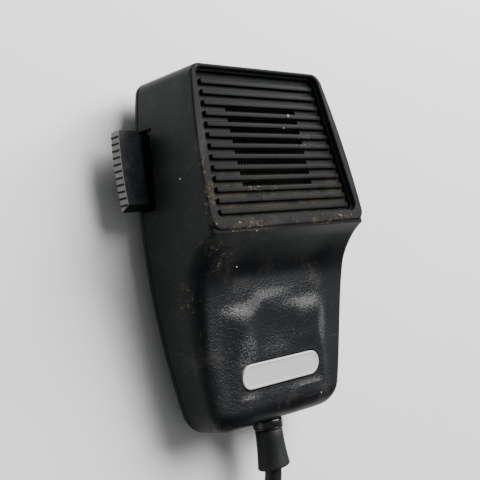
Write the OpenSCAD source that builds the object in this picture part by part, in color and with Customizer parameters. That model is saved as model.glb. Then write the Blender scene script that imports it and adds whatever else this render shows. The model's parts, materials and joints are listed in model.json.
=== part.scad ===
// Hand microphone of a mobile radio: two-piece case, push-to-talk bar, dynamic
// capsule behind a ribbed grille, curly cord and four-contact screw-on plug.
// It lies on its back on the hang-up stud. X runs across the face, Y from the
// cord end to the top, Z out of the face. Millimetres.

/* [Case] */
// Widest half width of the case
half_w = 31.8; // [29:0.1:34]
// Height of the case, cord end to top
case_h = 99; // [92:0.5:106]
// Height of the widest point above the cord end
widest_y = 52; // [46:1:58]
// Radius of the bowed sides
side_r = 205; // [150:5:300]
// Corner radius at the top
top_corner = 4; // [2:0.5:6]
// Corner radius at the cord end
low_corner = 8; // [5:0.5:10]
// Wall thickness
wall = 2.2; // [1.8:0.1:2.4]
// Thickness of the rear cover
cover_t = 2.8; // [2.4:0.1:3]

/* [Face] */
// Height of the grille's lower edge above the cord end
grille_low = 53; // [50:0.5:56]
// Case depth at the grille's lower edge
depth_low = 30.1; // [29:0.1:32]
// Tilt of the grille plane in degrees
face_tilt = 6.5; // [4:0.5:9]
// Width of the rim beside the grille
rim_w = 1.4; // [1:0.1:2]
// Depth of the grille's seat below the rim
seat_d = 4.4; // [4:0.1:5]
// Spacing of the grille's ribs
rib_pitch = 3.03; // [2.6:0.01:3.1]
// Number of ribs
rib_count = 13; // [10:13]
// Length of the sound slots
slot_w = 29; // [24:1:32]

/* [Push-to-talk bar] */
// Length of the bar along the side
bar_len = 22; // [18:0.5:24]
// Thickness of the bar
bar_t = 3.6; // [3:0.1:3.8]
// Reach of the bar from the middle of the case
bar_reach = 39.4; // [37:0.1:41]

/* [Hang-up stud] */
// Height that the stud stands out of the back
stud_h = 5; // [4:0.5:7]
// Radius of the stud's head
stud_head_r = 6.5; // [5:0.1:8]
// Distance of the stud from the cord end
stud_y = 58; // [50:1:64]

/* [Cord] */
// Diameter of the cord
cord_d = 5; // [4.4:0.1:5]
// Outer diameter of the curly stretch
curly_od = 14; // [12:0.5:14]
// Radius of the ring that the curly stretch is laid in
ring_r = 38; // [38:1:40]

/* [Hidden] */
eps = 0.02;
run_gap = 0.06;          // radial clearance of turning and sliding fits
cord_r = cord_d / 2;
cord_z = 7.7;            // cord axis above the case's back
cord_bore = cord_r + 0.06;
bar_y = 73.5;            // middle of the push-to-talk bar
bar_low = 3.15;          // underside of the bar above the case's back
bar_root = 31.9;         // inner end of the bar's finger piece, from the middle of the case
stem_t = 1.2;            // thickness of the bar's stem inside its opening
rib_top = 41.9;          // uppermost rib, measured up the grille plane
rib_w = 1.5;
rib_h = 1.25;
wall_y = 1.6;            // inner face of the wall at the cord end
floor_w = -seat_d - 2;   // inner side of the front wall under the grille
face_len = (case_h + 0.5 - grille_low) / cos(face_tilt);
capsule_v = 23.5;        // capsule axis, measured up the grille plane
window_r = 17.6;         // opening behind the sound slots
capsule_back = -12;      // rear of the capsule's body below the grille plane
plate_y = 13.3;          // middle of the name plate
plate_z = 16.6;
plate_tilt = 8.9;
plate_len = 32.5;
plate_w = 7;
cover_posts = [[-20, 10], [20, 10], [-22, 89.5], [22, 89.5]];
switch_posts = [[-15, 56.5], [-15, 93.5]];
board_posts = [[-11, 26], [11, 38]];
clamp_posts = [[-6.5, 11.5], [6.5, 11.5]];
clamp_v = capsule_v;
clamp_x = 21.8;          // screws of the capsule clamp
board_low = 6.5;
board_t = 1.5;
spring_y = 61.6;
spring_z = 5.2;
spring_turns = 7;
plug_x = -8.5;
plug_y = -113;           // rear end of the plug's boot
plug_z = 9;              // plug axis above the table, also the nut's radius
ring_start = 112;
ring_sweep = 318;
ring_y = -130.6;
ring_z = curly_od / 2;

// Lead from the cord clamp through the bushing to the curly stretch, row frame
lead_points = [[0, -41, 12.7], [0, -46, 12.7], [0, -51, 12.7], [0, -56, 12.7],
    [0, -61, 12.7], [0, -66, 12.7], [0, -71, 12.7], [0, -75, 12.6],
    [-0.8, -80.2, 11.8], [-3, -85.7, 10.4], [-6.6, -90.4, 8.9],
    [-10.3, -93.3, 7.7], [-14.2, -95.4, 7]];
// Tail from the curly stretch to the plug, row frame
tail_points = [[13, -94.9, 7], [7.5, -93.9, 6.7], [0.7, -95.4, 6.1],
    [-4.8, -99.6, 6.2], [-7.5, -104.2, 7.3], [-8.4, -108.4, 8.6],
    [-8.5, -112.4, 9], [-8.5, -118, 9], [-8.5, -123.2, 9]];
// Conductors and leads inside the case, case frame
conductor_ends = [-6, -2, 2, 6];
switch_lead_x = [-12.2, -9.8];
capsule_lead_x = [-4.5, 4.5];

// Case frame: cord end at Y 0, back of the case at Z 0
module in_case() translate([0, -stud_y, stud_h]) children();
// Grille frame: origin at the grille's lower edge, Z out of the grille plane
module on_face()
    translate([0, grille_low, depth_low]) rotate([-face_tilt, 0, 0]) children();
module on_plate() translate([0, plate_y, plate_z]) rotate([plate_tilt, 0, 0]) children();
// Plug frame: Z along the plug from its boot to its mouth
module in_plug() translate([plug_x, plug_y, plug_z]) rotate([90, 0, 0]) children();

// Outline of the case seen from the front
module bowed(inset, top) {
    intersection() {
        translate([half_w - side_r, widest_y]) circle(side_r - inset, $fn = 360);
        translate([side_r - half_w, widest_y]) circle(side_r - inset, $fn = 360);
        translate([-half_w, inset - 0.6]) square([2 * half_w, top + 0.6 - 2 * inset]);
    }
}
module rounded(r) offset(r = r, $fn = 40) offset(delta = -r) children();
module plan(inset = 0) {
    intersection() {
        rounded(top_corner) bowed(inset, case_h);
        rounded(low_corner) bowed(inset, case_h + 40);
    }
}

// Side view of the case, outside and inside, Y against Z
face_top_y = case_h + 0.5;
function face_z(y, w) = depth_low + w - (y - grille_low) * tan(face_tilt);
outer_side = [[-0.6, 0], [-0.6, 10.2], [0.2, 12.6], [2, 14.4], [5, 15.2], [14, 15.9],
    [24.6, 16.9], [35, 18.6], [41.6, 20.3], [45, 22], [47.6, 23.9], [50.1, 26],
    [52.2, 28.8], [grille_low, depth_low], [face_top_y, face_z(face_top_y, 0)],
    [case_h - 0.4, 0]];
pad_side = [[2.4, 10], [2.6, 14], [4.4, 15.1], [22, 17.95], [29, 19.3], [33, 20],
    [36, 20], [40, 19.2], [44, 16]];
inner_side = [[wall_y, -1], [wall_y, 9.2], [3, 12], [5, 12.9], [14, 13.6], [24.6, 14.6],
    [35, 16.2], [41.6, 18], [46, 20.2], [49, 23],
    [50.5, face_z(50.5, floor_w)], [case_h - wall - 0.4, face_z(case_h, floor_w)],
    [case_h - wall - 0.4, -1]];
module across(points, half)
    translate([-half, 0, 0]) rotate([90, 0, 90]) linear_extrude(2 * half) polygon(points);

// Grille outline in the grille frame, narrower towards the top
function face_half(v) = 31 - 4.8 * v / face_len - rim_w;
module grille_outline(shrink = 0) {
    low = 3.3 + shrink;
    high = face_len - 1.6 - shrink;
    rounded(2.5) polygon([[-face_half(low) + shrink, low], [face_half(low) - shrink, low],
        [face_half(high) - shrink, high], [-face_half(high) + shrink, high]]);
}

module post(xy, low, high, r) translate([xy[0], xy[1], low]) cylinder(h = high - low, r = r);
module both_sides() {
    children();
    mirror([1, 0, 0]) children();
}

module front_shell() color("#17191b") in_case() difference() {
    union() {
        difference() {
            intersection() {
                translate([0, 0, cover_t]) linear_extrude(40) plan();
                union() {
                    across(outer_side, 40);
                    across(pad_side, 21.5);
                }
            }
            intersection() {
                translate([0, 0, -1]) linear_extrude(40) plan(wall);
                across(inner_side, 40);
            }
        }
        for (p = cover_posts) post(p, cover_t, p[1] < 50 ? 13.8 : 19.6, 3);
        for (p = switch_posts) post(p, 6.25, p[1] < 70 ? 24.4 : 19.8, 2.4);
        for (p = board_posts) post(p, board_low + board_t + eps, 17, 2.4);
        for (p = clamp_posts) post(p, 7.5, 14, 2);
        both_sides() on_face() post([clamp_x, clamp_v], capsule_back - 0.02, floor_w + 0.5, 2.5);
        // Rails above and below the push-to-talk bar's flange, and the shelf in front of it
        translate([-27.5, 58, cover_t + 0.3]) cube([5, 1.4, 22]);
        translate([-26.6, 87.6, cover_t + 0.3]) cube([4.1, 1.4, 17.8]);
        translate([-26.8, 58, 7.1]) cube([4.3, 31, 1.2]);
    }
    on_face() {
        translate([0, 0, -seat_d]) linear_extrude(10) grille_outline();
        post([0, capsule_v], floor_w - 1, 0, window_r);
    }
    for (p = cover_posts) post(p, cover_t - 1, 12, 1.5);
    for (p = switch_posts) post(p, 5, 14, 1.05);
    for (p = board_posts) post(p, 7, 13, 1.05);
    for (p = clamp_posts) post(p, 7, 12.4, 1.05);
    both_sides() on_face() post([clamp_x, clamp_v], capsule_back - 1, -7, 1.05);
    // Opening for the push-to-talk bar
    translate([-half_w - 3, bar_y - bar_len / 2 - 0.5, 0])
        cube([half_w - 23.7, bar_len + 1, 10.6]);
    // Seat of the cord bushing
    translate([0, 5, cord_z]) rotate([90, 0, 0]) cylinder(h = 8, r = 3.8);
    translate([-3.8, -3, 0]) cube([7.6, 8, cord_z]);
    translate([0, 3.7, cord_z]) rotate([90, 0, 0]) cylinder(h = 3.7 - wall_y, r = 4.8);
    // Recess of the name plate
    on_plate() translate([0, 0, -0.8]) linear_extrude(5) stadium(plate_len + 0.8, plate_w + 0.8);
}

module stadium(length, width) {
    square([length - width, width], center = true);
    for (s = [-1, 1]) translate([s * (length - width) / 2, 0]) circle(d = width, $fn = 48);
}

module rear_cover() color("#1b1d1f") in_case() difference() {
    linear_extrude(cover_t - eps) plan();
    for (p = cover_posts) {
        post(p, -1, 5, 1.6);
        post(p, -1, 1.6, 3);
    }
    translate([0, stud_y, -1]) cylinder(h = 6, r = 1.65);
    // Shallow grip panel on the back
    translate([0, 27, -1]) linear_extrude(1.4) rounded(2) square([30, 26], center = true);
}

// Screw pointing along +Z with the underside of its head at Z 0
module screw(head_r, head_h, shank_r, length) {
    difference() {
        translate([0, 0, -head_h]) cylinder(h = head_h, r = head_r);
        for (a = [0, 90]) rotate(a) translate([-head_r * 0.6, -0.3, -head_h - 1])
            cube([head_r * 1.2, 0.6, 1.6]);
    }
    translate([0, 0, -eps]) cylinder(h = length + eps, r = shank_r);
}

module cover_screws() color("silver") in_case()
    for (p = cover_posts) translate([p[0], p[1], 1.6]) screw(2.7, 1.4, 1.45, 9);
module switch_screws() color("silver") in_case()
    for (p = switch_posts) translate([p[0], p[1], 4.6]) screw(1.9, 1.3, 1, 6);
module board_screws() color("silver") in_case()
    for (p = board_posts) translate([p[0], p[1], board_low]) screw(1.9, 1.3, 1, 6);
module cord_clamp_screws() color("silver") in_case()
    for (p = clamp_posts) translate([p[0], p[1], 4.8]) screw(1.9, 1.3, 1, 7);
module capsule_screws() color("silver") in_case() both_sides() on_face()
    translate([clamp_x, clamp_v, capsule_back - 0.85]) screw(2, 1.3, 1, 5);

module grille_insert() color("#202224") in_case() on_face() difference() {
    union() {
        translate([0, 0, -seat_d + eps]) linear_extrude(1.5) grille_outline(0.12);
        for (i = [0:rib_count - 1]) {
            v = rib_top - rib_pitch * i;
            translate([-face_half(v) + 3.9, v - rib_w / 2, -seat_d + 1.3])
                cube([2 * face_half(v) - 5.2, rib_w, rib_h]);
        }
    }
    for (i = [2:9]) translate([-slot_w / 2, rib_top - rib_pitch * (i + 0.5) - 0.5, -8])
        cube([slot_w, 1, 10]);
}
module dust_cloth() color("#101010") in_case() on_face()
    post([0, capsule_v], -seat_d - 0.35, -seat_d - eps, window_r - 0.4);

module name_plate() color("#e4e4dd") in_case() on_plate()
    translate([0, 0, -0.78]) linear_extrude(0.9) stadium(plate_len, plate_w);

// Push-to-talk bar with a flange inside the wall and a peg for its spring
module ptt_bar() color("#1c1e21") in_case() union() {
    translate([0, bar_y, bar_low]) linear_extrude(bar_t) rounded(1.2) intersection() {
        translate([-bar_reach, -bar_len / 2]) square([bar_reach - bar_root, bar_len]);
        translate([-bar_reach + 120, 0]) circle(120, $fn = 180);
    }
    translate([-bar_root - 0.7, bar_y - 10.4, bar_low]) cube([bar_root - 24.4, 20.8, stem_t]);
    translate([-26.3, 59.8, bar_low]) cube([1.6, 26.4, bar_t]);
    translate([-24.9, spring_y, spring_z]) rotate([0, 90, 0]) cylinder(h = 2, r = 1);
}

// Coil spring between the bar's flange and its pocket in the switch body
function spring_path() = let(n = spring_turns * 12)
    [for (i = [0:n]) [-24.5 + 9.9 * i / n, spring_y + 1.6 * cos(30 * i), spring_z + 1.6 * sin(30 * i)]];
module ptt_spring() color("silver") in_case() tube(spring_path(), 0.25, 6);

module switch_body() color("#1d2b3a") in_case() difference() {
    union() {
        translate([-20.5, 59, 3]) cube([10.5, 26, 6.2]);
        translate([-18, 53.5, 4.6]) cube([6, 43 - 0.5, 1.6]);
    }
    for (p = switch_posts) post(p, 3, 8, 1.1);
    translate([-22, spring_y, spring_z]) rotate([0, 90, 0]) cylinder(h = 7.6, r = 2.1);
    translate([-22, bar_y - 3.1, 3.9]) cube([8, 6.2, 3.2]);
}
module switch_plunger() color("ivory") in_case() {
    translate([-24.6, bar_y - 3, 4]) cube([6, 6, 3]);
}
module switch_terminals() color("gold") in_case()
    for (y = [66, 70, 77, 81]) translate([-10 + eps, y, 5]) cube([2.6, 1.6, 0.5]);

module capsule_gasket() color("#26282a") in_case() on_face() difference() {
    post([0, capsule_v], floor_w + 0.5, -seat_d - 0.37, window_r - 0.4);
    post([0, capsule_v], floor_w, 0, 14.2);
}
module mic_capsule() color("#8c8f92") in_case() on_face() union() {
    post([0, capsule_v], -7.4, floor_w + 0.48, 16.6);
    post([0, capsule_v], capsule_back, -7.3, 15);
    for (x = capsule_lead_x) translate([x - 0.8, capsule_v - 13, capsule_back - 0.5])
        cube([1.6, 3, 0.6]);
}
module capsule_magnet() color("#5b5e61") in_case() on_face()
    post([0, capsule_v], capsule_back - 3.6, capsule_back - eps, 8.6);
module capsule_clamp() color("silver") in_case() on_face() difference() {
    translate([0, 0, capsule_back - 0.85]) linear_extrude(0.8) union() {
        translate([0, capsule_v]) square([2 * clamp_x + 6, 7], center = true);
        translate([0, capsule_v]) circle(10.2, $fn = 64);
    }
    post([0, capsule_v], capsule_back - 2, 0, 8.9);
    both_sides() post([clamp_x, clamp_v], capsule_back - 2, 0, 1.1);
}

module terminal_board() color("#8a6a3a") in_case() difference() {
    translate([-15, 22, board_low]) cube([30, 20, board_t]);
    for (p = board_posts) post(p, 5, 9, 1.1);
}
module board_lugs() color("gold") in_case()
    for (x = [-6, -2, 2, 6], y = [24, 40]) {
        post([x, y], board_low - 1.6, board_low - eps, 0.7);
    }
module board_parts() color("#a84f2a") in_case() {
    translate([-6, 29, 5]) rotate([0, 90, 0]) cylinder(h = 7, r = 1.2);
    translate([-6, 34, 5]) rotate([0, 90, 0]) cylinder(h = 7, r = 1.2);
    post([7, 31.5], 3, board_low - eps, 2.4);
}

module cord_clamp() color("#9a9da0") in_case() difference() {
    translate([-9.5, 9, 4.8]) cube([19, 5, 2.6]);
    translate([0, 20, cord_z]) rotate([90, 0, 0]) cylinder(h = 20, r = cord_bore);
    for (p = clamp_posts) post(p, 3, 9, 1.1);
}

module cord_bushing() color("#0c0d0e") in_case() translate([0, 0, cord_z]) rotate([90, 0, 0])
    difference() {
        union() {
            translate([0, 0, -3.3]) cylinder(h = 1.6, r = 4.6);
            translate([0, 0, -2]) cylinder(h = 3.2, r = 3.72);
            translate([0, 0, 0.66]) cylinder(h = 2.9, r = 4.5);
        }
        translate([0, 0, -5]) cylinder(h = 12, r = cord_bore);
    }
module cord_sleeve() color("#141517") in_case() translate([0, 0, cord_z]) rotate([90, 0, 0])
    difference() {
        translate([0, 0, 3.58]) cylinder(h = 11.4, r1 = 4.05, r2 = 4.65);
        translate([0, 0, 0]) cylinder(h = 20, r = cord_bore);
        translate([0, 0, 14.6]) rotate([0, 16, 0]) translate([-10, -10, 0]) cube(20);
    }

// Tube of the given radius swept along a list of points
function unit(v) = v / norm(v);
function heading(p, i) = unit(p[min(i + 1, len(p) - 1)] - p[max(i - 1, 0)]);
function side_of(t) = unit(cross(t, abs(t[2]) > 0.8 ? [0, 1, 0] : [0, 0, 1]));
module tube(path, r, sides) {
    rings = [for (i = [0:len(path) - 1]) let(t = heading(path, i), u = side_of(t), w = cross(u, t))
        [for (k = [0:sides - 1]) path[i] + r * (cos(360 * k / sides) * u + sin(360 * k / sides) * w)]];
    skin = [for (i = [0:len(path) - 2], k = [0:sides - 1])
        [i * sides + k, i * sides + (k + 1) % sides, (i + 1) * sides + (k + 1) % sides,
            (i + 1) * sides + k]];
    last = (len(path) - 1) * sides;
    polyhedron([for (ring = rings) each ring], concat(skin,
        [[for (k = [sides - 1:-1:0]) k]], [[for (k = [0:sides - 1]) last + k]]), 10);
}

module cord_conductors() color("firebrick") in_case()
    for (x = conductor_ends) tube([[x / 3.6, 17.3, 7.7], [x / 2.5, 19, 6.6], [x * 0.8, 20.5, 4.9],
        [x, 22.2, 4.3], [x, 24, 4.3]], 0.45, 6);
module switch_leads() color("royalblue") in_case()
    for (i = [0, 1]) tube([[-5 + 0.4 * i, 41.5 + i, 4.3], [switch_lead_x[i] + 4, 45, 4],
        [switch_lead_x[i] + 3.2, 50, 3.8], [-7.8 + 2 * i, 58, 3.8], [-7.2 + 2 * i, 64, 3.9],
        [-7.2 + 1.4 * i, 70 + 7 * i, 4.2]], 0.45, 6);
module capsule_leads() color("darkgreen") in_case()
    for (x = capsule_lead_x) tube([[x * 0.8 + 1, 41.6, 4.6], [x + 1, 46, 6.5], [x + 1, 52, 9],
        [x, 57, 12], [x, 61.5, 14.6]], 0.45, 6);

module hang_stud() color("#c9ccce") difference() {
    union() {
        cylinder(h = 1.6, r = stud_head_r);
        translate([0, 0, 1.5]) cylinder(h = stud_h - 2.2, r = 3.2);
        translate([0, 0, stud_h - 0.8]) cylinder(h = 0.8 - eps, r = 5.6);
    }
    translate([0, 0, -1]) cylinder(h = stud_h + 2, r = 1.65);
    translate([0, 0, -eps]) cylinder(h = 1.7, r1 = 3.3, r2 = 1.6);
}
module stud_screw() color("silver") difference() {
    union() {
        translate([0, 0, 0.1]) cylinder(h = 1.5, r1 = 3.1, r2 = 1.6);
        translate([0, 0, 1.5]) cylinder(h = stud_h + cover_t + 2, r = 1.58);
    }
    translate([-4, -0.4, -1]) cube([8, 0.8, 1.8]);
}
module stud_washer() color("silver") in_case() difference() {
    post([0, stud_y], cover_t, cover_t + 0.5, 3.4);
    post([0, stud_y], 0, 9, 1.7);
}
module stud_nut() color("silver") in_case() difference() {
    translate([0, stud_y, cover_t + 0.5 + eps]) cylinder(h = 2.2, r = 3.1, $fn = 6);
    post([0, stud_y], 0, 9, 1.62);
}

module cord_lead() color("#141517") tube(lead_points, cord_r, 10);
module cord_tail() color("#141517") tube(tail_points, cord_r, 10);
module curly_cord() color("#141517") translate([0, ring_y, ring_z]) rotate(ring_start)
    rotate_extrude(angle = ring_sweep, $fn = 96) translate([ring_r, 0]) circle(d = curly_od, $fn = 24);

module plug_boot() color("#101112") in_plug() difference() {
    union() {
        cylinder(h = 6, r1 = 3.5, r2 = 4.2);
        translate([0, 0, 5.9]) cylinder(h = 3.1, r = 3.4);
    }
    translate([0, 0, -1]) cylinder(h = 20, r = cord_bore);
}
module plug_shell() color("#b9bcbf") in_plug() difference() {
    union() {
        translate([0, 0, 6 + eps]) cylinder(h = 4, r1 = 4.8, r2 = 7);
        translate([0, 0, 10]) cylinder(h = 17, r = 7);
        translate([0, 0, 26.9]) cylinder(h = 1.6, r = 7.6);
    }
    translate([0, 0, 5]) cylinder(h = 5, r = 3.45);
    translate([0, 0, 10]) cylinder(h = 30, r = 6.1);
    translate([0, 0, 20]) rotate([-90, 0, 0]) cylinder(h = 20, r = 1.25);
}
module plug_insert() color("#3b2a1c") in_plug() difference() {
    translate([0, 0, 22]) cylinder(h = 13, r = 6.05);
    for (a = [45:90:315]) rotate(a) translate([3.4, 0, 20]) cylinder(h = 30, r = 1.05);
    translate([-0.9, 4.9, 27]) cube([1.8, 3, 10]);
}
module plug_contacts() color("gold") in_plug()
    for (a = [45:90:315]) rotate(a) translate([3.4, 0, 18]) difference() {
        cylinder(h = 16.5, r = 1);
        translate([0, 0, 9]) cylinder(h = 9, r = 0.6);
    }
module plug_screw() color("silver") in_plug()
    translate([0, 6.15, 20]) rotate([-90, 0, 0]) cylinder(h = 1.6, r = 1.2);
module locking_ring() color("#a9acaf") in_plug() difference() {
    translate([0, 0, 24.4]) cylinder(h = 12.6, r = plug_z);
    translate([0, 0, 24]) cylinder(h = 30, r = 7 + run_gap);
    translate([0, 0, 26.7]) cylinder(h = 30, r = 7.7);
    for (a = [0:15:345]) rotate(a) translate([plug_z + 0.35, 0, 20]) cylinder(h = 30, r = 0.6);
}

front_shell();
rear_cover();
cover_screws();
grille_insert();
dust_cloth();
name_plate();
ptt_bar();
ptt_spring();
switch_body();
switch_plunger();
switch_terminals();
switch_screws();
mic_capsule();
capsule_magnet();
capsule_gasket();
capsule_clamp();
capsule_screws();
terminal_board();
board_lugs();
board_parts();
board_screws();
cord_clamp();
cord_clamp_screws();
cord_bushing();
cord_sleeve();
cord_conductors();
switch_leads();
capsule_leads();
hang_stud();
stud_screw();
stud_washer();
stud_nut();
cord_lead();
curly_cord();
cord_tail();
plug_boot();
plug_shell();
plug_insert();
plug_contacts();
plug_screw();
locking_ring();
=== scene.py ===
import json
import math

import bmesh
import bpy
from mathutils import Matrix, Vector


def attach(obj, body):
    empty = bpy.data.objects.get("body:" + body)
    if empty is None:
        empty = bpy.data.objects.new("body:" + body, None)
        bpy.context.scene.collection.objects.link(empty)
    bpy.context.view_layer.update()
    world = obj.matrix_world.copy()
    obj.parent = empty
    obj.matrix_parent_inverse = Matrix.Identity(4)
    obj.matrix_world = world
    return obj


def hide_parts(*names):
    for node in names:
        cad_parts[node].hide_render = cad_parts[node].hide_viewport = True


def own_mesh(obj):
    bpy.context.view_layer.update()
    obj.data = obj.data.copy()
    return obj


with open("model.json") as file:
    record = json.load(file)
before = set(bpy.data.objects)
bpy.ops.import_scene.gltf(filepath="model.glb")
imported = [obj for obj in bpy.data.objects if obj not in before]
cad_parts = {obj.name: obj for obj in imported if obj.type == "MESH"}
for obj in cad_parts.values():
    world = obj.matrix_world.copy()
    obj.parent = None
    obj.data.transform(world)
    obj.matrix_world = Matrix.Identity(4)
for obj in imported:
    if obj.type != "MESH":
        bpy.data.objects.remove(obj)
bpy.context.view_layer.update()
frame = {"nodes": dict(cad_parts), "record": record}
nodes = frame["nodes"]

# Sizes are millimetres on the case: x to its right, y up from the cord end, z up from its back.
# v and w are measured up the grille's plane and out of it.
MM = 0.001
CASE_Y = -58.0  # the case's own zero in the shared frame
CASE_Z = 5.0

SIDE_R = 205.0  # the long curve of the case's sides
SIDE_X = 31.8 - SIDE_R
WIDEST_Y = 52.0
LOW_Y = -0.6
TOP_Y = 99.0
LOW_R = 8.0  # corners at the cord end and at the top
TOP_R = 4.0
WALL = 2.2
SEAM_Z = 2.8  # top of the back cover
FOOT_Z = 3.05  # lower end of the shell's straight sides
EDGE_R = 1.5
CREST_Y = 33.6  # upper edge of the raised pad
CREST_BEND = 4.4
DISH_DEPTH = 0.75  # shallow hollow in the pad
SCOOP_Y = 42.5  # deepest line of the thumb scoop
SCOOP_DEPTH = 1.35

FACE_TILT = math.radians(6.5)  # the grille's plane and its lower edge
FACE_Y = 53.0
FACE_Z = 30.1
SEAT = 4.4  # depth of the grille's seat
FLOOR_W = -2.88  # floor between the ribs
RIB_PITCH = 3.03
RIB_TOP_V = 41.9
RIB_COUNT = 13

PLATE_TILT = math.radians(8.9)
PLATE_Y = 13.3
PLATE_Z = 16.6
PLATE_SEAT_Z = 16.45

BAR_Y = 73.5  # middle of the talk bar
BAR_HALF = 11
BAR_OUT = -39.4
BAR_IN = -31.9
BAR_BACK = 3.15
BAR_FRONT = 6.75
SPRING_Y = 61.6
SPRING_Z = 5.2
SPRING_TURNS = 7

CORD_Z = 7.7
CORD_R = 2.5


# ---------------------------------------------------------------- helpers

def at(x, y, z):
    """A place given in millimetres on the case."""
    return Vector((x, y + CASE_Y, z + CASE_Z)) * MM


def step(low, high, value):
    t = min(max((value - low) / (high - low), 0.0), 1.0)
    return t * t * (3 - 2 * t)


def deselect():
    if bpy.context.object is not None and bpy.context.object.mode != "OBJECT":
        bpy.ops.object.mode_set(mode="OBJECT")
    bpy.ops.object.select_all(action="DESELECT")


def pick(*pieces):
    deselect()
    for piece in pieces:
        piece.select_set(True)
    bpy.context.view_layer.objects.active = pieces[0]


def add_object(name, data):
    thing = bpy.data.objects.new(name, data)
    bpy.context.scene.collection.objects.link(thing)
    return thing


def named(name):
    piece = bpy.context.object
    piece.name = name
    piece.data.name = name
    return piece


def settle(piece, matrix=None):
    """Put the piece's place into its mesh."""
    pick(piece)
    if matrix is not None:
        piece.matrix_world = matrix @ piece.matrix_world
    bpy.ops.object.transform_apply(location=True, rotation=True, scale=True)
    return piece


def apply_modifier(piece, kind, **settings):
    pick(piece)
    modifier = piece.modifiers.new(kind.lower(), kind)
    for key, value in settings.items():
        setattr(modifier, key, value)
    bpy.ops.object.modifier_apply(modifier=modifier.name)


def soften(piece, width, segments=2, **more):
    """Round a piece's sharp edges off, by a width in millimetres."""
    apply_modifier(piece, "BEVEL", width=width * MM, segments=segments, limit_method="ANGLE", **more)
    return piece


def cut(piece, cutter):
    apply_modifier(piece, "BOOLEAN", operation="DIFFERENCE", object=cutter, solver="EXACT")
    bpy.data.objects.remove(cutter)


def join(name, pieces):
    pick(*pieces)
    bpy.ops.object.join()
    return named(name)


def outward(piece, gap=1e-6):
    """Merge doubled points and turn every face outwards."""
    pick(piece)
    bpy.ops.object.mode_set(mode="EDIT")
    bpy.ops.mesh.select_all(action="SELECT")
    bpy.ops.mesh.remove_doubles(threshold=gap)
    bpy.ops.mesh.normals_make_consistent(inside=False)
    bpy.ops.object.mode_set(mode="OBJECT")
    return piece


def smooth(piece, degrees=32):
    pick(piece)
    bpy.ops.object.shade_smooth_by_angle(angle=math.radians(degrees))
    return piece


def block(name, low, high):
    """A block between two corners in metres."""
    deselect()
    bpy.ops.mesh.primitive_cube_add(size=1, location=(low + high) / 2)
    piece = named(name)
    piece.scale = high - low
    return settle(piece)


def rod(name, place, radius, length, sides, turn=(0, 0, 0)):
    """A cylinder at a place in metres, with its size in millimetres."""
    deselect()
    bpy.ops.mesh.primitive_cylinder_add(vertices=sides, radius=radius * MM, depth=length * MM,
                                        location=place, rotation=turn)
    return named(name)


def duplicate(piece):
    twin = piece.copy()
    twin.data = piece.data.copy()
    bpy.context.scene.collection.objects.link(twin)
    return twin


def tube(name, points, radius, roundness):
    """A round tube with closed ends along points in metres."""
    data = bpy.data.curves.new(name, "CURVE")
    data.dimensions = "3D"
    data.bevel_depth = radius * MM
    data.bevel_resolution = roundness
    data.use_fill_caps = True
    line = data.splines.new("POLY")
    line.points.add(len(points) - 1)
    for point, place in zip(line.points, points):
        point.co = (*place, 1)
    pick(add_object(name, data))
    bpy.ops.object.convert(target="MESH")
    return smooth(outward(named(name)), 50)


def loft(name, rings, closed=False):
    """A circle of points extruded through the rings one after another."""
    count = len(rings[0])
    deselect()
    bpy.ops.mesh.primitive_circle_add(vertices=count, radius=0.01)
    piece = named(name)
    bpy.ops.object.mode_set(mode="EDIT")
    mesh = bmesh.from_edit_mesh(piece.data)
    mark = mesh.verts.layers.int.new("place")
    for number, vertex in enumerate(mesh.verts):
        vertex[mark] = number
        vertex.co = rings[0][number]
    for ring in rings[1:]:
        bpy.ops.mesh.extrude_region_move()
        mesh = bmesh.from_edit_mesh(piece.data)
        mark = mesh.verts.layers.int["place"]
        for vertex in mesh.verts:
            if vertex.select:
                vertex.co = ring[vertex[mark]]
    if not closed:
        bpy.ops.mesh.edge_face_add()
        bpy.ops.mesh.select_all(action="DESELECT")
        bpy.ops.mesh.select_non_manifold()
        bpy.ops.mesh.edge_face_add()
    bmesh.update_edit_mesh(piece.data)
    bpy.ops.object.mode_set(mode="OBJECT")
    place = piece.data.attributes.get("place")
    if place is not None:
        piece.data.attributes.remove(place)
    return outward(piece)


def turned(name, profile, centre, sides=48, wobble=None):
    """A closed profile of (distance along -Y, radius) carried round the cord's axis."""
    rings = []
    for along, radius in profile + profile[:1]:
        ring = []
        for k in range(sides):
            a = 2 * math.pi * k / sides
            x, z = radius * math.cos(a), radius * math.sin(a)
            far = along if wobble is None else along + wobble(x, along)
            ring.append(centre + Vector((x, -far, z)) * MM)
        rings.append(ring)
    return loft(name, rings, closed=True)


def curve_through(knots):
    """A smooth height through the knots that never overshoots them."""
    count = len(knots)
    slopes = [(knots[i + 1][1] - knots[i][1]) / (knots[i + 1][0] - knots[i][0])
              for i in range(count - 1)]
    tangents = [slopes[0]]
    for i in range(1, count - 1):
        a, b = slopes[i - 1], slopes[i]
        tangents.append(0.0 if a * b <= 0 else 2 * a * b / (a + b))
    tangents.append(slopes[-1])

    def height(value):
        if value <= knots[0][0]:
            return knots[0][1] + tangents[0] * (value - knots[0][0])
        for i in range(count - 1):
            x0, y0 = knots[i]
            x1, y1 = knots[i + 1]
            if value <= x1:
                h = x1 - x0
                t = (value - x0) / h
                return ((2 * t ** 3 - 3 * t ** 2 + 1) * y0 + (t ** 3 - 2 * t ** 2 + t) * h * tangents[i]
                        + (3 * t ** 2 - 2 * t ** 3) * y1 + (t ** 3 - t ** 2) * h * tangents[i + 1])
        return knots[-1][1] + tangents[-1] * (value - knots[-1][0])
    return height


# ---------------------------------------------------------------- camera

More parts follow.
